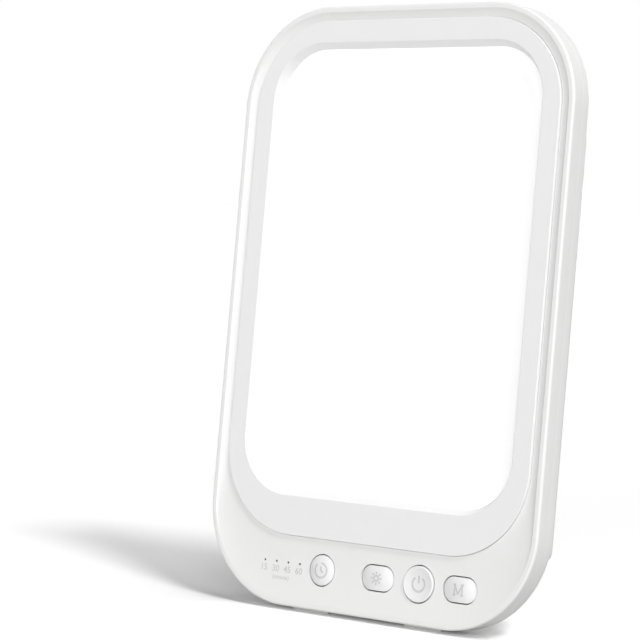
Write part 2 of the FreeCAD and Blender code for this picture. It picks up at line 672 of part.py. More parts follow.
def make_leg():
    """Moulded channel with a hinge barrel, cross ribs and a stop lug, drawn folded flat."""
    body = new_body("folding_leg", STANDING)
    plan = face_sketch(body, "leg_plan", leg_inner=1)
    corners = leg_plan("leg_bottom", "recess_top")
    polygon(plan, corners[:3] + corners[5:])
    slab = grow(body, plan, Total(deck_back=1, leg_inner=-1))
    rounded(body, slab, lambda edge: edge.BoundBox.ZMax < sheet.leg_bottom + 0.01
            and edge.BoundBox.YLength > 1, cell("leg_corner"))

    hollow = face_sketch(body, "leg_hollow", leg_inner=1)
    inner_wide, inner_narrow = cell("hollow_foot_half"), Total(leg_top_half=1, leg_wall=-1)
    hollow_foot = Total(leg_bottom=1, leg_corner=1)
    hollow_top = Total(hinge_height=1, barrel_radius=-1, leg_wall=-1)
    polygon(hollow, [(inner_wide.negated(), hollow_foot), (inner_wide, hollow_foot),
                     (inner_narrow, hollow_top), (inner_narrow.negated(), hollow_top)])
    carve(body, hollow, Total(deck_back=1, leg_inner=-1, leg_skin=-1))

    ribs = face_sketch(body, "leg_ribs", leg_inner=1)
    reach = cell("leg_top_half")
    for step in range(3):
        rectangle(ribs, reach.negated(), Total(rib_first=1, rib_pitch=step, rib_thick=-0.5),
                  reach, Total(rib_first=1, rib_pitch=step, rib_thick=0.5))
    grow(body, ribs, Total(deck_back=1, leg_inner=-1, leg_skin=-1))

    barrel = side_sketch(body, "leg_barrel")
    circle(barrel, cell("hinge_depth"), cell("hinge_height"), cell("barrel_radius"))
    grow(body, barrel, Total(leg_top_half=2), both_ways=True)

    # The lug's face lies flat on the floor of the recess when the leg stands open.
    lug = side_sketch(body, "stop_lug")
    ahead = Total(hinge_depth=1, recess_floor=-1, stop_gap=-1)
    face_low, face_high = when_open(ahead, cell("datum")), when_open(ahead, cell("lug_height"))
    back_high = when_open(cell("pin_radius"), cell("lug_height"))
    back_low = when_open(Total(pin_radius=-1), cell("datum"))
    polygon(lug, [face_low, face_high, back_high, back_low])
    grow(body, lug, Total(lug_half=2), both_ways=True)

    bore = side_sketch(body, "leg_bore")
    circle(bore, cell("hinge_depth"), cell("hinge_height"), Total(pin_radius=1, pin_clearance=1))
    carve(body, bore, Total(leg_top_half=2, leg_gap=2), both_ways=True)


def make_leg_foot():
    """Rubber strip on the leg's end, cut so that it lies flat on the table when the leg stands open."""
    body = new_body("leg_foot_pad", STANDING)
    slope = math.tan(math.radians(leg_tilt))
    profile = side_sketch(body, "foot_profile")
    front = Total(leg_inner=1, foot_pad_inset=1)
    back = Total(deck_back=1, foot_pad_inset=-1)
    front_sole = Total(hinge_height=1, foot_reach=-1, leg_inner=-slope, foot_pad_inset=-slope,
                       hinge_depth=slope)
    back_sole = Total(hinge_height=1, foot_reach=-1, deck_back=-slope, foot_pad_inset=slope,
                      hinge_depth=slope)
    top = cell("leg_bottom")
    polygon(profile, [(front, top), (back, top), (back, back_sole), (front, front_sole)])
    grow(body, profile, Total(foot_pad_half=2), both_ways=True)


def make_hinge_pin():
    body = new_body("hinge_pin")
    end = side_sketch(body, "pin_section")
    circle(end, cell("hinge_depth"), cell("hinge_height"), cell("pin_radius"))
    grow(body, end, cell("pin_length"), both_ways=True)


# -------------------------------------------------------------------------------------- rear cover

def make_rear_cover():
    """Rear shell with a locating lip, a raised deck, the recess of the leg and its hinge bosses."""
    body = new_body("rear_cover")
    face = face_sketch(body, "cover_outline", cover_front=1)
    outline(face, "panel")
    slab = grow(body, face, Total(cover_back=1, cover_front=-1))
    bevelled(body, slab, lambda edge: lies_at_depth(edge, sheet.cover_back), cell("cover_bevel"))
    deck = face_sketch(body, "deck_outline", cover_back=1)
    outline(deck, "deck")
    raised = grow(body, deck, Total(deck_back=1, cover_back=-1))
    bevelled(body, raised, lambda edge: lies_at_depth(edge, sheet.deck_back), cell("deck_bevel"))

    lip_inside = {"wall": -1, "lip_clearance": -1, "lip_thick": -1}
    inside = face_sketch(body, "cover_cavity", cover_front=1)
    outline(inside, "panel", **lip_inside)
    carve(body, inside, Total(cover_inside=1, cover_front=-1))
    cavity = face_sketch(body, "deck_cavity", cover_inside=1)
    outline(cavity, "deck", deck_wall=-1)
    carve(body, cavity, Total(deck_inside=1, cover_inside=-1))

    lip = face_sketch(body, "locating_lip", cover_front=1)
    outline(lip, "panel", wall=-1, lip_clearance=-1)
    outline(lip, "panel", **lip_inside)
    grow(body, lip, cell("lip_reach"), forward=True)

    shell = face_sketch(body, "recess_shell", recess_floor=1, recess_shell=-1)
    polygon(shell, leg_plan("shell_bottom", "shell_top", leg_gap=1, recess_shell=1))
    grow(body, shell, Total(deck_inside=1, recess_floor=-1, recess_shell=1))
    bosses = face_sketch(body, "hinge_bosses", recess_floor=1, recess_shell=-1)
    reach = cell("hinge_boss_reach")
    rectangle(bosses, reach.negated(), Total(hinge_height=1, hinge_boss_half=-1),
              reach, Total(hinge_height=1, hinge_boss_half=1))
    grow(body, bosses, Total(deck_inside=1, recess_floor=-1, recess_shell=1))
    recess = face_sketch(body, "leg_recess", deck_back=1)
    polygon(recess, leg_plan("recess_bottom", "recess_top", leg_gap=1))
    carve(body, recess, Total(deck_back=1, recess_floor=-1), forward=True)
    pin_hole = side_sketch(body, "pin_hole")
    circle(pin_hole, cell("hinge_depth"), cell("hinge_height"), Total(pin_radius=1, pin_fit=1))
    carve(body, pin_hole, Total(hinge_boss_reach=2), both_ways=True)

    holes = face_sketch(body, "screw_holes", cover_inside=1)
    for across, up in housing_screw_places():
        small_round(holes, across, up, Total(pilot_radius=1, screw_clearance=1))
    carve(body, holes, Total(cover_back=1, cover_inside=-1))
    counterbores = face_sketch(body, "screw_counterbores", cover_back=1)
    for across, up in housing_screw_places():
        circle(counterbores, across, up, Total(screw_head=1, screw_clearance=1))
    carve(body, counterbores, Total(cover_back=1, screw_seat=-1), forward=True)

    standoffs = face_sketch(body, "driver_standoffs", driver_front=1, driver_thick=1)
    for across, up in driver_screw_places():
        small_round(standoffs, across, up, cell("board_boss"))
    grow(body, standoffs, Total(deck_inside=1, driver_front=-1, driver_thick=-1))
    pilots = face_sketch(body, "driver_pilots", driver_front=1, driver_thick=1)
    for across, up in driver_screw_places():
        small_round(pilots, across, up, cell("board_pilot"))
    carve(body, pilots, Total(deck_inside=1, driver_front=-1, driver_thick=-1))

    jack_hole = plane_sketch(body, "jack_hole", "YZ_Plane", Total(deck_width=-0.5))
    circle(jack_hole, cell("jack_depth"), cell("jack_height"), Total(jack_nose=1, jack_clearance=1))
    carve(body, jack_hole, Total(deck_wall=1.5), forward=True)


# ------------------------------------------------------------------------- electronics in the deck

def make_driver_parts():
    """Coil and capacitors on the back of the driver board."""
    coil = new_body("inductor")
    face = face_sketch(coil, "coil_base", driver_front=1, driver_thick=1)
    small_round(face, cell("coil_x"), cell("driver_middle"), cell("coil_radius"))
    grow(coil, face, cell("part_tall"))
    cans = new_body("capacitors")
    base = face_sketch(cans, "can_bases", driver_front=1, driver_thick=1)
    for step in range(2):
        small_round(base, Total(can_x=1, can_pitch=step), cell("driver_middle"), cell("can_radius"))
    grow(cans, base, cell("part_tall"))


def make_sockets():
    """Lead sockets: three on the front of the driver board, one on the back of the control board."""
    deep = Total(driver_front=1, lead_depth=-1)
    for side_name, left in (("left", Total(driver_width=-0.5)),
                            ("right", Total(driver_width=0.5, socket_wide=-1))):
        block("led_socket_" + side_name, left, cell("lead_depth"), cell("led_socket_low"),
              cell("socket_wide"), deep, cell("socket_tall"))
    signal_left = Total(signal_x=1, signal_wide=-0.5)
    block("signal_socket", signal_left, cell("lead_depth"), Total(driver_middle=1, driver_height=-0.5),
          cell("signal_wide"), deep, cell("socket_tall"))
    block("board_socket", signal_left, Total(board_front=1, board_thick=1), cell("board_socket_low"),
          cell("signal_wide"), Total(lead_depth=1, lead_gauge=1, board_front=-1, board_thick=-1),
          cell("board_socket_tall"))


def make_leads():
    """Flat leads: LED strips to driver, driver to control board, and power jack to driver."""
    for side_name, side in (("left", -1), ("right", 1)):
        body = new_body("led_lead_" + side_name)
        face = face_sketch(body, f"led_lead_{side_name}_plan", lead_depth=1)
        rectangle(face, Total(driver_width=0.5 * side),
                  Total(led_socket_low=1, socket_tall=0.5, lead_wide=-0.5),
                  Total(tray_width=0.5 * side, lead_overlap=-side),
                  Total(led_socket_low=1, socket_tall=0.5, lead_wide=0.5))
        grow(body, face, cell("lead_gauge"))
    signal = new_body("signal_lead")
    face = face_sketch(signal, "signal_lead_plan", lead_depth=1)
    rectangle(face, Total(signal_x=1, lead_wide=-0.5), Total(board_socket_low=1, board_socket_tall=1),
              Total(signal_x=1, lead_wide=0.5), Total(driver_middle=1, driver_height=-0.5))
    grow(signal, face, cell("lead_gauge"))
    power = new_body("power_lead")
    face = face_sketch(power, "power_lead_plan", driver_front=1, driver_thick=1)
    jack_end = Total(deck_width=-0.5, deck_wall=1, lip_clearance=1, jack_length=1)
    turn_left = Total(driver_width=-0.5, lead_margin=-1, lead_wide=-1)
    turn_right = Total(driver_width=-0.5, lead_margin=-1)
    board_edge = Total(driver_width=-0.5, lead_wide=1)
    start_low, start_high = Total(jack_height=1, lead_wide=-0.5), Total(jack_height=1, lead_wide=0.5)
    end_low, end_high = Total(driver_middle=1, lead_wide=-0.5), Total(driver_middle=1, lead_wide=0.5)
    polygon(face, [(jack_end, start_low), (turn_right, start_low), (turn_right, end_low),
                   (board_edge, end_low), (board_edge, end_high), (turn_left, end_high),
                   (turn_left, start_high), (jack_end, start_high)])
    grow(power, face, cell("lead_gauge"))


# ------------------------------------------------------------------------------------------ screws

def make_screws(label, places, head_radius, head_depth, head_tall, shank_radius, shank_long, forward):
    """Group of equal pan-head screws at the given places; 'forward' means their tips point forward."""
    body = new_body(label)
    heads = face_sketch(body, label + "_heads", **head_depth)
    for across, up in places:
        small_round(heads, across, up, head_radius)
    grow(body, heads, head_tall, forward=not forward)
    shanks = face_sketch(body, label + "_shanks", **head_depth)
    for across, up in places:
        small_round(shanks, across, up, shank_radius)
    grow(body, shanks, shank_long, forward=forward)


def make_all_screws():
    small_shank = Total(board_pilot=1, screw_gap=-1)
    make_screws("housing_screws", housing_screw_places(), cell("screw_head"), {"screw_seat": 1},
                Total(cover_back=1, screw_seat=-1, lip_clearance=-1), Total(pilot_radius=1, screw_gap=-1),
                Total(screw_seat=1, screw_tip=-1), True)
    make_screws("board_screws", board_screw_places(), cell("small_head"),
                {"board_front": 1, "board_thick": 1}, cell("small_head_tall"), small_shank,
                Total(board_thick=1, board_front=1, screw_tip=-1), True)
    make_screws("driver_screws", driver_screw_places(), cell("small_head"), {"driver_front": 1},
                cell("small_head_tall"), small_shank, cell("driver_screw_long"), False)


# ------------------------------------------------------------------------------------- rubber feet

def make_base_pads():
    """Two rubber wedges under the bottom edge, flat on the table while the panel leans back."""
    body = new_body("base_pads")
    slope, drop = math.tan(lean_radians), 1 / math.cos(lean_radians)
    front, back, flush = cell("pad_front"), cell("pad_back"), cell("datum")
    front_sole = Total(pad_front=slope, lift=-drop)
    back_sole = Total(pad_back=slope, lift=-drop)
    for side_name, side in (("left", -1), ("right", 1)):
        profile = plane_sketch(body, "wedge_" + side_name, "YZ_Plane", Total(pad_near=side))
        polygon(profile, [(front, flush), (back, flush), (back, back_sole), (front, front_sole)])
        grow(body, profile, Total(pad_far=1, pad_near=-1), forward=side > 0)


# ----------------------------------------------------------------------------------------- assembly

make_front_bezel()
make_diffuser_frame()
make_sheet("diffuser", "diffuser_thick", diffuser_depth=1)
make_sheet("light_guide", "guide_thick", diffuser_depth=1, diffuser_thick=1)
make_sheet("reflector", "reflector_thick", diffuser_depth=1, diffuser_thick=1, guide_thick=1)
make_tray()
make_led_strip("left", -1)
make_led_strip("right", 1)
make_timer_button()
make_power_button()
make_pill_button("brightness")
make_pill_button("mode")
for switch_name in ("timer", "power", "brightness", "mode"):
    make_push_switch(switch_name)
make_control_board()
make_light_pipe()
make_timer_leds()
make_driver_board()
make_driver_parts()
make_sockets()
make_power_jack()
make_leads()
make_rear_cover()
make_leg()
make_leg_foot()
make_hinge_pin()
make_all_screws()
make_base_pads()
doc.recompute()

failed = [thing.Name for thing in doc.Objects if {"Invalid", "Error"} & set(thing.State)]
if failed:
    raise ValueError("objects that failed: " + ", ".join(failed))
for part in parts:
    if part.Shape.isNull() or not part.Shape.isValid():
        raise ValueError(part.Label + " has no valid shape")

os.makedirs("parts", exist_ok=True)
for part in parts:
    part.Shape.exportStep(f"parts/{part.Label}.step")
print(len(parts), "parts; leg opens", round(leg_opening, 2), "degrees and tilts", round(leg_tilt, 2))
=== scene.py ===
import bmesh
import bpy
import json
import math
import numpy as np
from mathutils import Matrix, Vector


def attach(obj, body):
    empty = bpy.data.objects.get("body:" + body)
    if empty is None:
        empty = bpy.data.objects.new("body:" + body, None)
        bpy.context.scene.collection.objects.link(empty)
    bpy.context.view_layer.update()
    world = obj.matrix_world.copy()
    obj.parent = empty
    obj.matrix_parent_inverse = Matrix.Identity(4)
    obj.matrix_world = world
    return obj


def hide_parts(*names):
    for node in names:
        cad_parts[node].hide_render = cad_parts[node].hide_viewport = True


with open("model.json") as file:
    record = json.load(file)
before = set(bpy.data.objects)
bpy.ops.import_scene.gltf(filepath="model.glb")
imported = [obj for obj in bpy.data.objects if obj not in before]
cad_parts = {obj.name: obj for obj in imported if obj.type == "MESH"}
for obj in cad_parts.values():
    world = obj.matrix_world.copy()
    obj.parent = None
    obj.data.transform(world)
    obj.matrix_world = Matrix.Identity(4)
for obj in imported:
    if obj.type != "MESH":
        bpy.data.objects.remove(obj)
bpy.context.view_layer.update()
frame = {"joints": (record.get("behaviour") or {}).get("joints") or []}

# ---------------------------------------------------------------------------- camera
# A long portrait lens at the lamp's front right, a little below its top edge. It stands 0.9 metres
# away, so that the sides of the panel draw together only slightly.

EYE = Vector((0.5305, -0.7249, 0.1810))
LOOK = Vector((-0.6144, 0.7847, -0.0830))
camera = bpy.data.objects.new("camera", bpy.data.cameras.new("camera"))
camera.data.lens = 140.6
camera.data.sensor_width = 36
camera.data.clip_start = 0.05
camera.location = EYE
camera.rotation_euler = LOOK.to_track_quat("-Z", "Y").to_euler()
bpy.context.collection.objects.link(camera)
bpy.context.scene.camera = camera

# ---------------------------------------------------------------------------- light and floor
# Soft lights from the right throw the shadow to the left, a broad one from behind spreads it under the
# front edge, and low ones light the front and the back. The nearly dark room shows white where it is
# seen, and the table is a plain white sheet that shows only the lamp's shadow.


def distant_light(name, comes_from, strength, softness):
    """Parallel light; a strength of 1 shows a white that faces it as white, and softness is in degrees."""
    data = bpy.data.lights.new(name, "SUN")
    data.energy = math.pi * strength
    data.angle = math.radians(softness)
    lamp = bpy.data.objects.new(name, data)
    lamp.rotation_euler = (-Vector(comes_from)).to_track_quat("-Z", "Y").to_euler()
    bpy.context.collection.objects.link(lamp)


distant_light("right_light", (0.63, -0.19, 0.75), 0.44, 12)
distant_light("high_light", (0.42, -0.08, 0.90), 0.09, 25)
distant_light("back_light", (0.30, 0.25, 0.92), 0.24, 40)
distant_light("key_light", (0.59, -0.675, 0.44), 0.22, 20)
distant_light("front_light", (0.15, -0.98, 0.08), 0.53, 40)
distant_light("rear_light", (-0.35, 0.94, 0.0), 0.28, 20)

ROOM_GLOW = 0.04
room = bpy.context.scene.world or bpy.data.worlds.new("room")
bpy.context.scene.world = room
room.use_nodes = True
sky = room.node_tree
sky.nodes.clear()
ray = sky.nodes.new("ShaderNodeLightPath")
lit_room = sky.nodes.new("ShaderNodeBackground")
white_room = sky.nodes.new("ShaderNodeBackground")
lit_room.inputs["Color"].default_value = (1, 1, 1, 1)
white_room.inputs["Color"].default_value = (1, 1, 1, 1)
lit_room.inputs["Strength"].default_value = ROOM_GLOW
seen = ray.outputs["Is Camera Ray"]
for kind in ("Is Glossy Ray", "Is Transmission Ray"):
    either = sky.nodes.new("ShaderNodeMath")
    either.operation = "MAXIMUM"
    sky.links.new(seen, either.inputs[0])
    sky.links.new(ray.outputs[kind], either.inputs[1])
    seen = either.outputs[0]
choose = sky.nodes.new("ShaderNodeMixShader")
leaving = sky.nodes.new("ShaderNodeOutputWorld")
sky.links.new(seen, choose.inputs["Fac"])
sky.links.new(lit_room.outputs[0], choose.inputs[1])
sky.links.new(white_room.outputs[0], choose.inputs[2])
sky.links.new(choose.outputs[0], leaving.inputs["Surface"])

bpy.context.scene.view_settings.view_transform = "Standard"

FLOOR_REACH = 3
TABLE_BOUNCE, TABLE_SEEN = 0.7, 1.23
MIX_A, MIX_B, MIX_RESULT = 6, 7, 2  # a Mix node's sockets when it mixes colours
corners = [(-FLOOR_REACH, -FLOOR_REACH, 0), (FLOOR_REACH, -FLOOR_REACH, 0),
           (FLOOR_REACH, FLOOR_REACH, 0), (-FLOOR_REACH, FLOOR_REACH, 0)]
floor_mesh = bpy.data.meshes.new("table_top")
floor_mesh.from_pydata(corners, [], [(0, 1, 2, 3)])
table_top = bpy.data.objects.new("table_top", floor_mesh)
bpy.context.collection.objects.link(table_top)
paper = bpy.data.materials.new("table_paper")
paper.use_nodes = True
tree = paper.node_tree
tree.nodes.clear()
ray = tree.nodes.new("ShaderNodeLightPath")
shade = tree.nodes.new("ShaderNodeMix")
matte = tree.nodes.new("ShaderNodeBsdfDiffuse")
leaving = tree.nodes.new("ShaderNodeOutputMaterial")
shade.data_type = "RGBA"
shade.inputs[MIX_A].default_value = (TABLE_BOUNCE, TABLE_BOUNCE, TABLE_BOUNCE, 1)
shade.inputs[MIX_B].default_value = (TABLE_SEEN, TABLE_SEEN, TABLE_SEEN, 1)
tree.links.new(ray.outputs["Is Camera Ray"], shade.inputs[0])
tree.links.new(shade.outputs[MIX_RESULT], matte.inputs["Color"])
tree.links.new(matte.outputs[0], leaving.inputs["Surface"])
floor_mesh.materials.append(paper)

# ---------------------------------------------------------------------------- front bezel
# One moulding of white plastic: a rounded rim, a cove that widens into the chin, and a stepped seat
# for the trim frame. The buttons and the indicator pins come through holes moulded in the chin.

# The panel leans back by the angle at which the power button's push points down.
push = next(joint for joint in frame["joints"] if joint["name"] == "power_press")["axis"]
LEAN = math.asin(-push[2])
# Sizes of the pieces are in millimetres, but these two and the distances for merging are in metres.
SET_BACK, LIFT = -0.0253, 0.0017
MM = 0.001
ARC_STEPS, STRAIGHT_STEPS = 24, 40
MERGE_WITHIN, SLIVER = 1e-7, 1e-8


def to_world(points):
    """Panel places (across, depth behind the front, height) in millimetres as world points in metres.

    The places are turned back about the foot of the front plane by the lean, and then moved back and up.
    """
    across, depth, height = np.moveaxis(np.asarray(points, float) * MM, -1, 0)
    back = depth * math.cos(LEAN) + height * math.sin(LEAN) + SET_BACK
    up = height * math.cos(LEAN) - depth * math.sin(LEAN) + LIFT
    return np.stack([across, back, up], axis=-1)


def loop(width, height, radius, middle):
    """Rounded rectangle as one ring of (across, height) points.

    Each corner is a quarter circle about its own centre, and the straight sides are even steps from
    the end of one quarter to the start of the next, so that rings of any size match point for point.
    """
    signs = np.array([(1, -1), (1, 1), (-1, 1), (-1, -1)])
    centres = signs * (width / 2 - radius, height / 2 - radius) + (0, middle)
    turns = np.radians(np.linspace(-90, 0, ARC_STEPS + 1) + 90 * np.arange(4)[:, None])
    arcs = centres[:, None] + radius * np.stack([np.cos(turns), np.sin(turns)], axis=-1)
    steps = np.linspace(0, 1, STRAIGHT_STEPS + 1)[1:-1, None]
    sides = arcs[:, -1:] * (1 - steps) + np.roll(arcs, -1, axis=0)[:, :1] * steps
    return np.concatenate([arcs, sides], axis=1).reshape(-1, 2)


def ring(outline, depth):
    """The outline at one depth, as (across, depth, height) points."""
    return np.stack([outline[:, 0], np.full(len(outline), depth), outline[:, 1]], axis=-1)


def surface(name, rings, closed=False, smooth_angle=35):
    """Mesh through a stack of equal rings: a grid that closes on itself round the rings.

    With closed, the last ring joins the first one. Rings shrunk to one point make a pole.
    """
    grid = to_world(np.stack(rings))
    rows, columns = grid.shape[:2]
    row = np.arange(rows if closed else rows - 1)[:, None]
    column = np.arange(columns)
    here, above = row * columns, (row + 1) % rows * columns
    beside = (column + 1) % columns
    corners = np.broadcast_arrays(here + column, here + beside, above + beside, above + column)
    faces = np.stack(corners, axis=-1)
    mesh = bpy.data.meshes.new(name)
    mesh.from_pydata(grid.reshape(-1, 3).tolist(), [], faces.reshape(-1, 4).tolist())
    work = bmesh.new()
    work.from_mesh(mesh)
    bmesh.ops.remove_doubles(work, verts=work.verts, dist=MERGE_WITHIN)
    bmesh.ops.dissolve_degenerate(work, edges=work.edges, dist=SLIVER)
    bmesh.ops.recalc_face_normals(work, faces=work.faces)
    work.to_mesh(mesh)
    work.free()
    soften(mesh, smooth_angle)
    piece = bpy.data.objects.new(name, mesh)
    bpy.context.collection.objects.link(piece)
    return piece


def soften(mesh, smooth_angle):
    """Smooth shading, with a crisp edge wherever two faces meet at more than the given angle."""
    mesh.polygons.foreach_set("use_smooth", np.ones(len(mesh.polygons), bool))
    mesh.set_sharp_from_angle(angle=math.radians(smooth_angle))


def cut(piece, tool, smooth_angle=35):
    """Take the tool's solid out of the piece."""
    carve = piece.modifiers.new("cut", "BOOLEAN")
    carve.operation = "DIFFERENCE"
    carve.solver = "EXACT"
    carve.object = tool
    posed = piece.evaluated_get(bpy.context.evaluated_depsgraph_get())
    mesh = bpy.data.meshes.new_from_object(posed)
    piece.modifiers.clear()
    piece.data = mesh
    soften(mesh, smooth_angle)
    bpy.data.objects.remove(tool)


def quarter(start, end, centre_depth, radius, steps=8):
    """Offsets and depths along an arc about the given depth, between two angles in degrees."""
    turns = np.radians(np.linspace(start, end, steps + 1))
    return radius * np.cos(turns), centre_depth + radius * np.sin(turns)


# Width, height, corner radius and height of the middle.
PANEL = (145, 220, 36.6, 110)
PLATE = (133.5, 188.9, 31.5, 120.25)
RIM_ROUND, RIM_WIDTH, WALL, BEZEL_DEPTH, SKIN = 0.9, 2.1, 2, 6, 3.3
SEAT_EDGE, SEAT_GAP, SEAT_FLOOR, LEDGE = 1.2, 0.16, 1.9, 3.5
PARTING, CRISP, WALL_MIDDLE = 0.05, 0.04, 3.5
COVE_STEPS, COVE_CROWDING = 36, 1.5
SLOPE_EDGE, STEP, STEP_RUN, STEP_FULL, STEP_FADE = 1.0, 0.35, 0.5, 6, 12


def grown(shape, by):
    """Outline of a shape whose edge is moved out by the given distance, round the same corner centres."""
    width, height, radius, middle = shape
    return loop(width + 2 * by, height + 2 * by, radius + by, middle)


def cove_depth(share, width):
    """Depth of the cove at a share of the way from the rim to the frame's seat, which is width away.

    In the chin, where it is wide, it is a parabola whose steep end is at the rim and whose level end
    is at the seat. Where it is narrow it is an even slope with a small rounded step beside the rim.
    The step is STEP times the square of the way gone over that square plus the square of STEP_RUN.
    """
    narrow = np.clip((STEP_FADE - width) / (STEP_FADE - STEP_FULL), 0, 1)
    gone = share * width
    step = STEP * gone ** 2 / (gone ** 2 + STEP_RUN ** 2)
    return SEAT_EDGE * share * (2 - share) * (1 - narrow) + (SLOPE_EDGE * share + step) * narrow


rings = [ring(grown(PANEL, -WALL), BEZEL_DEPTH), ring(grown(PANEL, -PARTING), BEZEL_DEPTH),
         ring(grown(PANEL, 0), BEZEL_DEPTH - PARTING), ring(grown(PANEL, 0), WALL_MIDDLE)]
for inset, depth in zip(*quarter(180, 270, RIM_ROUND, RIM_ROUND)):
    rings.append(ring(grown(PANEL, -RIM_ROUND - inset), depth))
rings += [ring(grown(PANEL, -RIM_ROUND - CRISP), 0), ring(grown(PANEL, -RIM_WIDTH + CRISP), 0)]
rim, seat = grown(PANEL, -RIM_WIDTH), grown(PLATE, SEAT_GAP)
outward = grown(PLATE, SEAT_GAP + 1) - seat
cove_width = ((rim - seat) * outward).sum(axis=1)
for share in np.linspace(0, 1, COVE_STEPS + 1) ** COVE_CROWDING:
    across, height = (rim * (1 - share) + seat * share).T
    rings.append(np.stack([across, cove_depth(share, cove_width), height], axis=-1))
opening = grown(PLATE, -LEDGE)
rings += [ring(seat, SEAT_FLOOR), ring(opening, SEAT_FLOOR), ring(opening, SKIN),
          ring(grown(PANEL, -WALL), SKIN)]
bezel = surface("bezel_shell", rings, closed=True)

ROW_HEIGHT, HOLE_GAP, HOLE_FRONT, HOLE_BACK = 14.6, 0.42, -1, 5
PILL_HALF_LONG, PILL_RADIUS = 7.05, 4.4
# Place across, half length and end radius of each cap; a round cap is as long as it is tall.
KEYS = {
    "timer": (-18.7, 5.5, 5.5),
    "power": (24.4, 6.4, 6.4),
    "brightness": (6.3, PILL_HALF_LONG, PILL_RADIUS),
    "mode": (41.9, PILL_HALF_LONG, PILL_RADIUS),
}
DOT_FIRST, DOT_PITCH, DOT_HEIGHT, DOT_HOLE = -45.25, 5.4, 15.7, 0.42
CAP_STEPS = 96


def stadium(x, z, half_long, radius):
    """Ring of a pill shape: a circle of the given radius, its halves moved apart to half_long."""
    turns = np.linspace(0, 2 * math.pi, CAP_STEPS, endpoint=False)
    across, up = radius * np.cos(turns), radius * np.sin(turns)
    return np.stack([x + across + np.sign(np.round(across, 9)) * (half_long - radius), z + up], axis=-1)


def prism(outline, front, back):
    """Rings of a closed prism on an outline, from the front depth to the back depth."""
    middle = np.broadcast_to(outline.mean(axis=0), outline.shape)
    return [ring(middle, front), ring(outline, front), ring(outline, back), ring(middle, back)]


def drill(name, outlines, front, back):
    """One tool of several closed prisms, each reaching from the front depth to the back depth."""
    tools = [surface(name, prism(outline, front, back)) for outline in outlines]
    together = bmesh.new()
    for tool in tools:
        together.from_mesh(tool.data)
    together.to_mesh(tools[0].data)
    together.free()
    for tool in tools[1:]:
        bpy.data.objects.remove(tool)
    return tools[0]


holes = [stadium(x, ROW_HEIGHT, half_long + HOLE_GAP, radius + HOLE_GAP)
         for x, half_long, radius in KEYS.values()]
holes += [stadium(DOT_FIRST + DOT_PITCH * step, DOT_HEIGHT, DOT_HOLE, DOT_HOLE) for step in range(4)]
cut(bezel, drill("chin_holes", holes, HOLE_FRONT, HOLE_BACK))

CLOUD_SCALE, SHEEN_SWING, RELIEF_DEPTH = 25, 0.04, 0.00003


def textured(name, colour, roughness, grain=0.0004, bump=0.04, shade=0.985, metallic=0.0, drawn=1.0):
    """An even colour with a faint cloud in it and a fine relief; drawn stretches both along the height.

    The grain is the size of the relief's pits in metres, and the cloud darkens the colour by shade.
    Left as they are, the numbers give moulded plastic with a spark-eroded surface.
    """
    material = bpy.data.materials.new(name)
    material.use_nodes = True
    tree = material.node_tree
    shader = tree.nodes["Principled BSDF"]
    shader.inputs["Metallic"].default_value = metallic
    place = tree.nodes.new("ShaderNodeTexCoord")
    stretch = tree.nodes.new("ShaderNodeMapping")
    stretch.inputs["Scale"].default_value[2] = 1 / drawn
    cloud = tree.nodes.new("ShaderNodeTexNoise")
    tint = tree.nodes.new("ShaderNodeMix")
    texture = tree.nodes.new("ShaderNodeTexNoise")
    relief = tree.nodes.new("ShaderNodeBump")
    sheen = tree.nodes.new("ShaderNodeMapRange")
    cloud.inputs["Scale"].default_value = CLOUD_SCALE
    cloud.inputs["Detail"].default_value = 3
    texture.inputs["Scale"].default_value = 1 / grain
    texture.inputs["Detail"].default_value = 2
    tint.data_type = "RGBA"
    tint.inputs[MIX_A].default_value = (*(shade * part for part in colour), 1)
    tint.inputs[MIX_B].default_value = (*colour, 1)
    sheen.inputs["To Min"].default_value = roughness - SHEEN_SWING
    sheen.inputs["To Max"].default_value = roughness + SHEEN_SWING
    relief.inputs["Strength"].default_value = bump
    relief.inputs["Distance"].default_value = RELIEF_DEPTH
    tree.links.new(place.outputs["Object"], stretch.inputs["Vector"])
    for noise in (cloud, texture):
        tree.links.new(stretch.outputs[0], noise.inputs["Vector"])
    tree.links.new(cloud.outputs["Fac"], tint.inputs[0])
    tree.links.new(tint.outputs[MIX_RESULT], shader.inputs["Base Color"])
    tree.links.new(cloud.outputs["Fac"], sheen.inputs["Value"])
    tree.links.new(sheen.outputs[0], shader.inputs["Roughness"])
    tree.links.new(texture.outputs["Fac"], relief.inputs["Height"])
    tree.links.new(relief.outputs[0], shader.inputs["Normal"])
    return material


white_housing = textured("white_housing", (0.84, 0.84, 0.835), 0.42)


def dress(piece, material, *nodes, body="panel", slot=None):
    """Give a new piece its material, the body that carries it and the nodes that it stands for."""
    piece.data.materials.clear()
    piece.data.materials.append(material)
    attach(piece, body)
    if nodes:
        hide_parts(*nodes)


dress(bezel, white_housing, "front_bezel", slot="white_housing")

# ---------------------------------------------------------------------------- trim frame
# A flat white plate round the light, dropped into the bezel's seat. Its window slopes steeply in to
# the diffuser, and a skirt behind it clamps the light stack.

WINDOW = (118.6, 166.6, 21, 123.4)
PLATE_DEPTH, PLATE_THICK, PLATE_ROUND, PLATE_ROUND_STEPS = 0.3, 1.6, 0.25, 5
DIFFUSER_DEPTH, BEVEL_RUN, SKIRT = 3.9, 2.0, 1.2
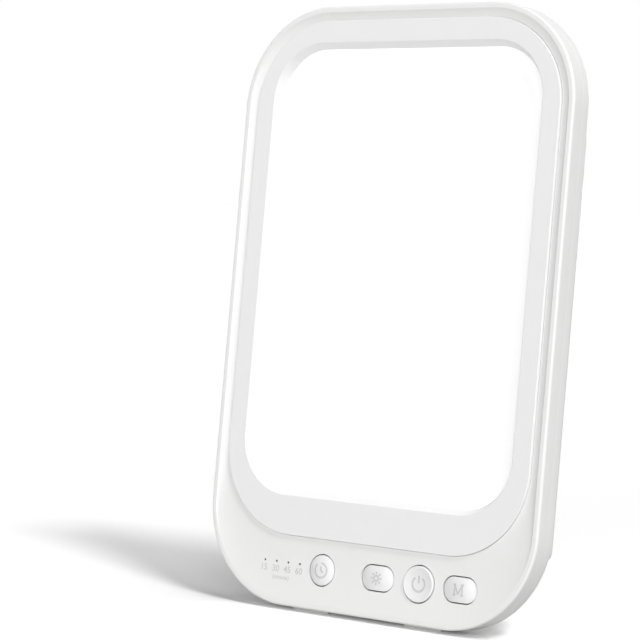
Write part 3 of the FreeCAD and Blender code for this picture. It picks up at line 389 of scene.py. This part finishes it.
# The window's front edge: how far each ring lies outside the window and behind the plate's front.
WINDOW_EDGE = [(0.25 + CRISP, 0), (0.25, 0), (0, 0.06), (-0.15, 0.25)]
plate_back = PLATE_DEPTH + PLATE_THICK
rings = [ring(grown(WINDOW, SKIRT), DIFFUSER_DEPTH), ring(grown(WINDOW, SKIRT), plate_back),
         ring(grown(PLATE, 0), plate_back)]
for inset, depth in zip(*quarter(180, 270, PLATE_DEPTH + PLATE_ROUND, PLATE_ROUND, PLATE_ROUND_STEPS)):
    rings.append(ring(grown(PLATE, -PLATE_ROUND - inset), depth))
rings.append(ring(grown(PLATE, -PLATE_ROUND - CRISP), PLATE_DEPTH))
rings += [ring(grown(WINDOW, outside), PLATE_DEPTH + behind) for outside, behind in WINDOW_EDGE]
rings.append(ring(grown(WINDOW, -BEVEL_RUN), DIFFUSER_DEPTH))
trim = surface("trim_frame", rings, closed=True)
trim_plastic = textured("trim_plastic", (0.855, 0.855, 0.855), 0.4)
dress(trim, trim_plastic, "diffuser_frame", slot="trim_plate")

# ---------------------------------------------------------------------------- diffuser
# A flat opal acrylic sheet, held at its edge by the trim frame's skirt. The light stack behind it
# makes it evenly white from edge to edge.

OPAL_GLOW = 0.2
opal = textured("opal_diffuser", (0.92, 0.92, 0.92), 0.35)
shader = opal.node_tree.nodes["Principled BSDF"]
shader.inputs["Emission Color"].default_value = (1, 1, 1, 1)
shader.inputs["Emission Strength"].default_value = OPAL_GLOW


def coat(material, *nodes):
    """Put a material into the slot of nodes that are shown as they are."""
    for name in nodes:
        bpy.data.objects[name].material_slots[0].material = material


coat(opal, "diffuser")

# ---------------------------------------------------------------------------- buttons
# Four caps of white plastic with a satin top, each on its own push switch: a small domed timer
# button, two domed pills and a larger round one with a dished top for the fingertip.

CAP_RINGS, CAP_CENTRE, CAP_BACK = 25, 0.25, 3.35
EDGE_ROUND, EDGE_START, EDGE_RINGS = 0.35, 15, 6
# Crest, drop, power and upright share of each cap's top.
TOPS = {
    "timer": (0.15, 1.1, 2.2, 0.7),
    "power": (0.75, -0.7, 2.5, 1),
    "brightness": (0.1, 1.4, 2, 0.5),
    "mode": (0.1, 1.4, 2, 0.5),
}


def cap_depth(x, z, half_long, radius, crest, drop, power, upright):
    """Depth of a cap's top under a point given from the cap's centre.

    The share of the way out is counted in full across and by the share upright in height; the top falls
    away from the crest by drop times that share raised to the power.
    """
    return crest + drop * np.hypot(x / half_long, upright * z / radius) ** power


def make_cap(name, x, half_long, radius, *top):
    """Cap: the depth function on pill rings that grow from the centre line, a rounded edge and a wall.

    The rings open to the centre line's full length over the first share CAP_CENTRE of the way out.
    """
    rings = []
    for share in np.linspace(0, 1, CAP_RINGS):
        inner = (radius - EDGE_ROUND) * share
        line = (half_long - radius) * min(1, share / CAP_CENTRE)
        outline = stadium(0, 0, inner + line, inner)
        depth = cap_depth(*outline.T, half_long, radius, *top)
        rings.append(np.stack([outline[:, 0] + x, depth, outline[:, 1] + ROW_HEIGHT], axis=-1))
    edge = rings[-1][:, 1]
    for turn in np.radians(np.linspace(EDGE_START, 90, EDGE_RINGS)):
        inset = EDGE_ROUND * (1 - math.sin(turn))
        depth = edge + EDGE_ROUND * (1 - math.cos(turn))
        outline = stadium(x, ROW_HEIGHT, half_long - inset, radius - inset)
        rings.append(np.stack([outline[:, 0], depth, outline[:, 1]], axis=-1))
    outline = stadium(x, ROW_HEIGHT, half_long, radius)
    middle = np.broadcast_to(outline.mean(axis=0), outline.shape)
    rings += [ring(outline, CAP_BACK), ring(middle, CAP_BACK)]
    return surface(name, rings, smooth_angle=60)


cap_plastic = textured("cap_plastic", (0.84, 0.84, 0.84), 0.36)
for name, top in TOPS.items():
    cap = make_cap(name + "_cap", *KEYS[name], *top)
    dress(cap, cap_plastic, name + "_button", body=name + "_key", slot="button_white")

# ---------------------------------------------------------------------------- printed marks
# Grey pad-printed ink: the minutes under the indicator dots, and on the caps a clock, a sun, the usual
# power sign and an M. Each mark is a film of ink that follows the surface under it.

INK_FILM, LETTER_SWELL, GLYPH_STEPS = 0.015, 0.0125, 48
ink = textured("grey_ink", (0.62, 0.62, 0.63), 0.55)


def chin_depth(x, z):
    """Depth of the chin at a place near its lower edge.

    Between the corners the share of the way up from the rim to the seat is plain. Round a corner each
    ring of the cove is a circle whose centre and radius slide evenly from the rim's to the seat's, so
    the share is the root of the quadratic that puts the place on such a circle.
    """
    width, height, radius, middle = PANEL
    rim_radius, rim_low = radius - RIM_WIDTH, middle - height / 2 + RIM_WIDTH
    start = np.array([width / 2 - radius, rim_low + rim_radius])
    width, height, radius, middle = PLATE
    seat_radius, seat_low = radius + SEAT_GAP, middle - height / 2 - SEAT_GAP
    slide = np.array([width / 2 - radius, seat_low + seat_radius]) - start
    spread = seat_radius - rim_radius
    level = (z - rim_low) / (seat_low - rim_low)
    from_start = np.stack([np.abs(x), z], axis=-1) - start
    square = slide @ slide - spread ** 2
    linear = from_start @ slide + rim_radius * spread
    constant = (from_start ** 2).sum(axis=-1) - rim_radius ** 2
    root = np.sqrt(np.maximum(linear ** 2 - square * constant, 0))
    first, second = (linear - root) / square, (linear + root) / square
    round_share = np.where((first >= 0) & (first <= 1), first, second)
    share = np.where(np.abs(x) > start[0], round_share, level)
    return cove_depth(np.clip(share, 0, 1), STEP_FADE)


def film(places, depth_of):
    """World points of an ink film over flat (across, height) places, just in front of a surface."""
    across, up = places.T
    return to_world(np.stack([across, depth_of(across, up) - INK_FILM, up], axis=-1))


def print_text(name, words, size, x, z):
    """Words in the plain built-in letters, slightly swollen, centred on a place of the chin."""
    curve = bpy.data.curves.new(name, "FONT")
    curve.body = words
    curve.size = size
    curve.offset = size * LETTER_SWELL
    curve.align_x = "CENTER"
    curve.align_y = "CENTER"
    maker = bpy.data.objects.new(name, curve)
    bpy.context.collection.objects.link(maker)
    mesh = bpy.data.meshes.new_from_object(maker.evaluated_get(bpy.context.evaluated_depsgraph_get()))
    bpy.data.objects.remove(maker)
    flat = np.empty(len(mesh.vertices) * 3)
    mesh.vertices.foreach_get("co", flat)
    laid = film(flat.reshape(-1, 3)[:, :2] + (x, z), chin_depth)
    mesh.vertices.foreach_set("co", laid.ravel())
    mesh.name = name
    mark = bpy.data.objects.new(name, mesh)
    bpy.context.collection.objects.link(mark)
    dress(mark, ink, body="panel")


def print_lines(name, key, paths, line_width, shift=0):
    """Lines of even width on a cap, given from its centre and moved across by the shift.

    Each path is widened to both sides by half the line width along its own normals, as a grid of three
    points across, and all of them are joined into one mark.
    """
    x, *form = KEYS[key] + TOPS[key]
    places, faces = [], []
    for path in paths:
        along = np.gradient(path, axis=0)
        if np.allclose(path[0], path[-1]):
            along[0] = along[-1] = path[1] - path[-2]
        along /= np.linalg.norm(along, axis=1, keepdims=True)
        normal = np.stack([-along[:, 1], along[:, 0]], axis=-1)
        strips = path[:, None] + normal[:, None] * (np.array([-0.5, 0, 0.5]) * line_width)[:, None]
        start = sum(len(place) for place in places)
        index = start + np.arange(len(path) - 1)[:, None] * 3 + np.arange(2)
        faces.append(np.stack([index, index + 3, index + 4, index + 1], axis=-1).reshape(-1, 4))
        places.append(strips.reshape(-1, 2))
    laid = film(np.concatenate(places) + (x + shift, ROW_HEIGHT),
                lambda across, up: cap_depth(across - x, up - ROW_HEIGHT, *form))
    mesh = bpy.data.meshes.new(name)
    mesh.from_pydata(laid.tolist(), [], np.concatenate(faces).tolist())
    mark = bpy.data.objects.new(name, mesh)
    bpy.context.collection.objects.link(mark)
    dress(mark, ink, body=key + "_key")


def arc(radius, start, end, steps=GLYPH_STEPS):
    """Points of a circle about the mark's centre, in even steps between two angles in degrees."""
    turns = np.radians(np.linspace(start, end, steps + 1))
    return radius * np.stack([np.cos(turns), np.sin(turns)], axis=-1)


def stroke(start, end, points=6):
    """Straight line between two points, in even steps so that it can follow a curved surface."""
    return np.linspace(start, end, points)


LINE, POWER_LINE, LETTER_LINE, SIGN_RADIUS = 0.72, 0.8, 0.68, 2.6
clock = [arc(SIGN_RADIUS, 130, 450), stroke((0, 1.5), (0, 0)), stroke((0, 0), (1.2, -0.7))]
print_lines("clock_sign", "timer", clock, LINE)
SUN_RADIUS, RAY_START, RAY_END = 0.95, 1.55, 2.35
sun = [arc(SUN_RADIUS, 0, 360)]
for turn in range(0, 360, 45):
    sun.append(stroke(arc(RAY_START, turn, turn, 0)[0], arc(RAY_END, turn, turn, 0)[0]))
print_lines("sun_sign", "brightness", sun, LINE)
print_lines("power_sign", "power", [arc(SIGN_RADIUS, 125, 415), stroke((0, 3), (0, 0.3))], POWER_LINE)
M_HALF, M_TALL, M_DIP, SERIF, M_POINTS, M_SHIFT = 1.6, 1.8, 0.3, 0.6, 10, -0.2
sides, ends = (-M_HALF, M_HALF), (-M_TALL, M_TALL)
letter = [stroke((side, -M_TALL), (side, M_TALL), M_POINTS) for side in sides]
letter += [stroke((side, M_TALL), (0, M_DIP - M_TALL), M_POINTS) for side in sides]
letter += [stroke((side - SERIF, end), (side + SERIF, end)) for side in sides for end in ends]
print_lines("mode_sign", "mode", letter, LETTER_LINE, M_SHIFT)
MINUTES_SIZE, MINUTES_SHIFT, MINUTES_DROP = 3.3, -0.15, 2.7
CAPTION_SIZE, CAPTION_SHIFT, CAPTION_DROP = 2.25, -0.05, 5.7
for step, minutes in enumerate(("15", "30", "45", "60")):
    print_text("minutes_" + minutes, minutes, MINUTES_SIZE, DOT_FIRST + DOT_PITCH * step + MINUTES_SHIFT,
               DOT_HEIGHT - MINUTES_DROP)
print_text("minutes_caption", "(minute)", CAPTION_SIZE, DOT_FIRST + DOT_PITCH * 1.5 + CAPTION_SHIFT,
           DOT_HEIGHT - CAPTION_DROP)

# ---------------------------------------------------------------------------- rear shell
# The back half of the housing, of the same white plastic: a shallow wall, a raised deck for the
# driver, and a recess for the leg. Four screws pull it onto the bezel, and the jack is in its side.

COVER_FRONT, COVER_BACK, COVER_ROUND, COVER_INSIDE = 6.05, 10.2, 1.2, 8.5
DECK = (136.2, 151.8, 4.5, 102.1)
DECK_BACK, DECK_ROUND, DECK_INSIDE, DECK_WALL = 18, 1.6, 16.4, 2
CAVITY_FRONT, CAVITY_EDGE = 5, 3.35
RECESS_FLOOR, RECESS_LOW, RECESS_HIGH, RECESS_END, RECESS_CORNER = 12, 20, 111.6, 19, 0.6
RECESS_SHELL, RECESS_WALL_LOW, RECESS_WALL_END = 1.5, 28, 17
LEG_TOP_HALF, LEG_FOOT_HALF, LEG_GAP, HINGE_HEIGHT, LEG_BOTTOM = 22, 27, 0.5, 104, 1
SCREWS = [(32, 213.6), (-32, 213.6), (59, 21.5), (-59, 21.5)]
COUNTERBORE, COUNTERBORE_FRONT, COUNTERBORE_END = 2.6, 9.3, 11
JACK_DEPTH, JACK_HEIGHT, JACK_HOLE, JACK_OUTSIDE, JACK_INSIDE = 13.2, 60, 3.3, 1, 3
ROUND_STEPS = 64


def centre_of(shape):
    """The outline of a shape shrunk to its middle, with as many points as before."""
    return np.broadcast_to((0, shape[3]), (4 * (ARC_STEPS + STRAIGHT_STEPS), 2))


def leg_half(height):
    """Half the leg's width at a height: an even taper from the foot's half to the hinge's half."""
    below = np.maximum(HINGE_HEIGHT - height, 0) / (HINGE_HEIGHT - LEG_BOTTOM)
    return LEG_TOP_HALF + (LEG_FOOT_HALF - LEG_TOP_HALF) * below


def leg_prism(name, low, high, spare, front, back):
    """Closed prism on the leg's plan, from low to high, with the given room beside the leg.

    It is a rounded rectangle that reaches one to each side, stretched across by the leg's half width
    plus that room.
    """
    across, height = loop(2, high - low, RECESS_CORNER, (low + high) / 2).T
    outline = np.stack([across * (leg_half(height) + spare), height], axis=-1)
    return surface(name, prism(outline, front, back))


def crosswise(across, radius, depth, height):
    """Circle about an axis that runs across the panel, as (across, depth, height) points."""
    turn = np.linspace(0, 2 * math.pi, ROUND_STEPS, endpoint=False)
    return np.stack([np.full(ROUND_STEPS, across), depth + radius * np.cos(turn),
                     height + radius * np.sin(turn)], axis=-1)


rings = [ring(centre_of(PANEL), COVER_FRONT), ring(grown(PANEL, -PARTING), COVER_FRONT),
         ring(grown(PANEL, 0), COVER_FRONT + PARTING)]
for inset, depth in zip(*quarter(180, 90, COVER_BACK - COVER_ROUND, COVER_ROUND)):
    rings.append(ring(grown(PANEL, -COVER_ROUND - inset), depth))
rings.append(ring(grown(DECK, 0), COVER_BACK))
for inset, depth in zip(*quarter(180, 90, DECK_BACK - DECK_ROUND, DECK_ROUND)):
    rings.append(ring(grown(DECK, -DECK_ROUND - inset), depth))
rings.append(ring(centre_of(DECK), DECK_BACK))
shell = surface("rear_shell", rings)
edge, deck_edge = grown(PANEL, -CAVITY_EDGE), grown(DECK, -DECK_WALL)
cavity = surface("cavity", [ring(centre_of(PANEL), CAVITY_FRONT), ring(edge, CAVITY_FRONT),
                            ring(edge, COVER_INSIDE), ring(deck_edge, COVER_INSIDE),
                            ring(deck_edge, DECK_INSIDE), ring(centre_of(DECK), DECK_INSIDE)])
cut(cavity, leg_prism("recess_wall", RECESS_WALL_LOW, RECESS_HIGH + RECESS_SHELL, LEG_GAP + RECESS_SHELL,
                      RECESS_FLOOR - RECESS_SHELL, RECESS_WALL_END))
cut(shell, cavity)
cut(shell, leg_prism("recess", RECESS_LOW, RECESS_HIGH, LEG_GAP, RECESS_FLOOR, RECESS_END))
bores = [stadium(x, z, COUNTERBORE, COUNTERBORE) for x, z in SCREWS]
cut(shell, drill("counterbores", bores, COUNTERBORE_FRONT, COUNTERBORE_END))
outside, inside = -DECK[0] / 2 - JACK_OUTSIDE, -DECK[0] / 2 + JACK_INSIDE
sideways = [crosswise(across, radius, JACK_DEPTH, JACK_HEIGHT) for across, radius in
            ((outside, 0), (outside, JACK_HOLE), (inside, JACK_HOLE), (inside, 0))]
cut(shell, surface("jack_hole", sideways))
dress(shell, white_housing, "rear_cover", slot="white_housing")

# ---------------------------------------------------------------------------- folding leg
# A tapered dish of the housing's plastic with cross ribs in its hollow, a rubber sole at its foot and
# a hinge barrel that turns on a steel pin. A lug beside the barrel stops the open leg in the recess.

LEG_FRONT, LEG_BACK, LEG_ROUND, LEG_CORNER, LEG_BEVEL, LEG_MIDDLE = 12.4, 18, 1.2, 8, 0.3, 50
HOLLOW_DEPTH, HOLLOW_CORNER, HOLLOW_GAP, LEG_WALL = 16, 1, 2, 2.8
RIB_HEIGHTS, RIB_THICK, RIB_CORNER, RIB_INSET, RIB_FRONT, RIB_BACK = (32, 53, 74), 1.6, 0.2, 1, 12.6, 16.2
HINGE_DEPTH, BARREL, BARREL_HALF, BORE, LEG_OPEN = 15.2, 2.8, 22, 1.55, math.radians(18.14)
BARREL_BEVEL, BARREL_SHOULDER = 0.3, 21.67
# Half width of the lug, its side outline as (depth, height) corners, and the middle of that side.
LUG_HALF, LUG_SIDE, LUG_MIDDLE = 8, [(12.05, 104), (12.05, 110), (13.7, 110), (16.7, 104)], (13.6, 106)


def opened(places):
    """Turn (across, depth, height) places of the folded leg about the hinge into the open leg's."""
    across, depth, height = np.moveaxis(np.asarray(places, float), -1, 0)
    behind, above = depth - HINGE_DEPTH, height - HINGE_HEIGHT
    return np.stack([across, HINGE_DEPTH + behind * math.cos(LEG_OPEN) - above * math.sin(LEG_OPEN),
                     HINGE_HEIGHT + behind * math.sin(LEG_OPEN) + above * math.cos(LEG_OPEN)], axis=-1)


def leg_ring(depth, inset, low, high, corner):
    """Outline of the leg at one depth: its width follows the taper and it is cut off square at high.

    It is a rounded rectangle that runs on past high, with every height above high brought back to it.
    """
    outline = loop(2 * LEG_FOOT_HALF, high - low + 2 * corner, corner, (low + high) / 2 + corner)
    height = np.minimum(outline[:, 1], high)
    across = outline[:, 0] / LEG_FOOT_HALF * (leg_half(height) - inset)
    return ring(np.stack([across, height], axis=-1), depth)


hollow_top = HINGE_HEIGHT - BARREL - HOLLOW_GAP
hollow = [leg_ring(depth, LEG_WALL, LEG_BOTTOM + LEG_CORNER, hollow_top, HOLLOW_CORNER)
          for depth in (HOLLOW_DEPTH, LEG_FRONT)]
dish = [np.broadcast_to((0, HOLLOW_DEPTH, LEG_MIDDLE), hollow[0].shape), *hollow,
        leg_ring(LEG_FRONT, LEG_BEVEL, LEG_BOTTOM + LEG_BEVEL, HINGE_HEIGHT, LEG_CORNER - LEG_BEVEL),
        leg_ring(LEG_FRONT + LEG_BEVEL, 0, LEG_BOTTOM, HINGE_HEIGHT, LEG_CORNER)]
for inset, depth in zip(*quarter(180, 90, LEG_BACK - LEG_ROUND, LEG_ROUND)):
    inset += LEG_ROUND
    dish.append(leg_ring(depth, inset, LEG_BOTTOM + inset, HINGE_HEIGHT, LEG_CORNER - inset))
dish.append(np.broadcast_to((0, LEG_BACK, LEG_MIDDLE), dish[0].shape))
leg = surface("leg_dish", [opened(rung) for rung in dish])
dress(leg, white_housing, "folding_leg", body="leg", slot="white_housing")
for step, height in enumerate(RIB_HEIGHTS):
    outline = loop(2 * (LEG_TOP_HALF - RIB_INSET), RIB_THICK, RIB_CORNER, height)
    rib = surface("leg_rib_%d" % (step + 1), opened(prism(outline, RIB_FRONT, RIB_BACK)))
    dress(rib, white_housing, body="leg")
neck = BARREL - BARREL_BEVEL
barrel = [crosswise(across, radius, HINGE_DEPTH, HINGE_HEIGHT) for across, radius in
          ((-BARREL_HALF, BORE), (-BARREL_HALF, neck), (-BARREL_SHOULDER, BARREL),
           (BARREL_SHOULDER, BARREL), (BARREL_HALF, neck), (BARREL_HALF, BORE))]
dress(surface("leg_barrel", barrel, closed=True), white_housing, body="leg")
lug = [[(across, *corner) for corner in side] for across, side in
       ((-LUG_HALF, [LUG_MIDDLE] * 4), (-LUG_HALF, LUG_SIDE),
        (LUG_HALF, LUG_SIDE), (LUG_HALF, [LUG_MIDDLE] * 4))]
dress(surface("leg_lug", np.array(lug, float)), white_housing, body="leg")
sole_rubber = textured("sole_rubber", (0.32, 0.32, 0.33), 0.75, grain=0.0003, bump=0.2, shade=0.9)
coat(sole_rubber, "leg_foot_pad")
steel = textured("plated_steel", (0.62, 0.62, 0.60), 0.28, grain=0.0002, bump=0.05, shade=0.9, metallic=1.0)
coat(steel, "hinge_pin", "housing_screws")

# ---------------------------------------------------------------------------- light stack
# Behind the diffuser: a clear light guide printed with dots, a white film and a rolled aluminium tray.
# A strip of LEDs lights each long edge of the guide.

DOT_SPACING, DOT_INSIDE, DOT_OUTSIDE, DOT_ROUGH, CLEAR_ROUGH = 0.0016, 0.3, 0.36, 0.6, 0.05
ACRYLIC_INDEX = 1.49
clear = textured("clear_acrylic", (0.98, 0.98, 0.98), 0.06, bump=0)
tree = clear.node_tree
shader = tree.nodes["Principled BSDF"]
shader.inputs["Transmission Weight"].default_value = 1
shader.inputs["IOR"].default_value = ACRYLIC_INDEX
dots = tree.nodes.new("ShaderNodeTexVoronoi")
dots.inputs["Scale"].default_value = 1 / DOT_SPACING
dots.inputs["Randomness"].default_value = 0
spot = tree.nodes.new("ShaderNodeMapRange")
spot.inputs["From Min"].default_value = DOT_INSIDE
spot.inputs["From Max"].default_value = DOT_OUTSIDE
spot.inputs["To Min"].default_value = DOT_ROUGH
spot.inputs["To Max"].default_value = CLEAR_ROUGH
tree.links.new(tree.nodes["Texture Coordinate"].outputs["Object"], dots.inputs["Vector"])
tree.links.new(dots.outputs["Distance"], spot.inputs["Value"])
tree.links.new(spot.outputs[0], shader.inputs["Roughness"])
coat(clear, "light_guide")
coat(textured("white_film", (0.9, 0.9, 0.9), 0.5, grain=0.0008, bump=0.02), "reflector")
aluminium = textured("rolled_aluminium", (0.78, 0.79, 0.8), 0.38, grain=0.0002, bump=0.08, shade=0.92,
                     metallic=1.0, drawn=30)
coat(aluminium, "backlight_tray")
package = textured("led_package", (0.9, 0.84, 0.55), 0.4, grain=0.0006, bump=0.1, shade=0.8)
coat(package, "led_chips_left", "led_chips_right", "timer_leds")

TRACK_SCALE, TRACK_WIDTH, MASK_SHADE = 140, 0.03, 0.93


def circuit(name, mask, track):
    """Solder mask with copper tracks showing through: the mortar of a brick pattern is the tracks."""
    material = textured(name, mask, 0.34, grain=0.0007, bump=0.06)
    tree = material.node_tree
    turn = tree.nodes.new("ShaderNodeMapping")
    turn.inputs["Rotation"].default_value[0] = math.radians(90)
    tracks = tree.nodes.new("ShaderNodeTexBrick")
    tracks.inputs["Scale"].default_value = TRACK_SCALE
    tracks.inputs["Mortar Size"].default_value = TRACK_WIDTH
    tracks.inputs["Color2"].default_value = (*(MASK_SHADE * part for part in mask), 1)
    tracks.inputs["Mortar"].default_value = (*track, 1)
    tree.links.new(tree.nodes["Texture Coordinate"].outputs["Object"], turn.inputs["Vector"])
    tree.links.new(turn.outputs[0], tracks.inputs["Vector"])
    tree.links.new(tree.nodes["Mix"].outputs[MIX_RESULT], tracks.inputs["Color1"])
    tree.links.new(tracks.outputs["Color"], tree.nodes["Principled BSDF"].inputs["Base Color"])
    return material


coat(circuit("strip_mask", (0.8, 0.8, 0.78), (0.66, 0.66, 0.63)), "led_strip_left", "led_strip_right")

# ---------------------------------------------------------------------------- boards and their parts
# A green control board with four push switches and the smoked light pipe, and a driver board with a
# ferrite choke, can capacitors and the power socket. Screws hold both, and flat leads join them.

coat(circuit("board_mask", (0.05, 0.22, 0.10), (0.10, 0.34, 0.16)), "control_board", "driver_board")
black = textured("black_nylon", (0.03, 0.03, 0.032), 0.45, bump=0.12, shade=0.8)
coat(black, "power_jack", "signal_socket", "board_socket", "led_socket_left", "led_socket_right",
     *(name + "_switch" for name in KEYS), *(name + "_switch_stem" for name in KEYS))
coat(textured("ferrite", (0.09, 0.085, 0.08), 0.7, grain=0.0003, bump=0.25, shade=0.75), "inductor")
coat(textured("can_sleeve", (0.62, 0.63, 0.66), 0.3, grain=0.0005, bump=0.05, shade=0.85, metallic=0.9),
     "capacitors")
coat(textured("smoked_lens", (0.02, 0.02, 0.022), 0.2, bump=0.03, shade=0.8), "light_pipe")
coat(textured("lead_jacket", (0.45, 0.05, 0.04), 0.5, bump=0.1, shade=0.85), "signal_lead", "power_lead",
     "led_lead_left", "led_lead_right")
coat(steel, "board_screws", "driver_screws")

# ---------------------------------------------------------------------------- base pads
# Two pale silicone wedges under the bottom edge, on which the panel stands. They keep it from sliding
# on the table.

coat(textured("pad_silicone", (0.7, 0.7, 0.69), 0.6, bump=0.15, shade=0.95), "base_pads")
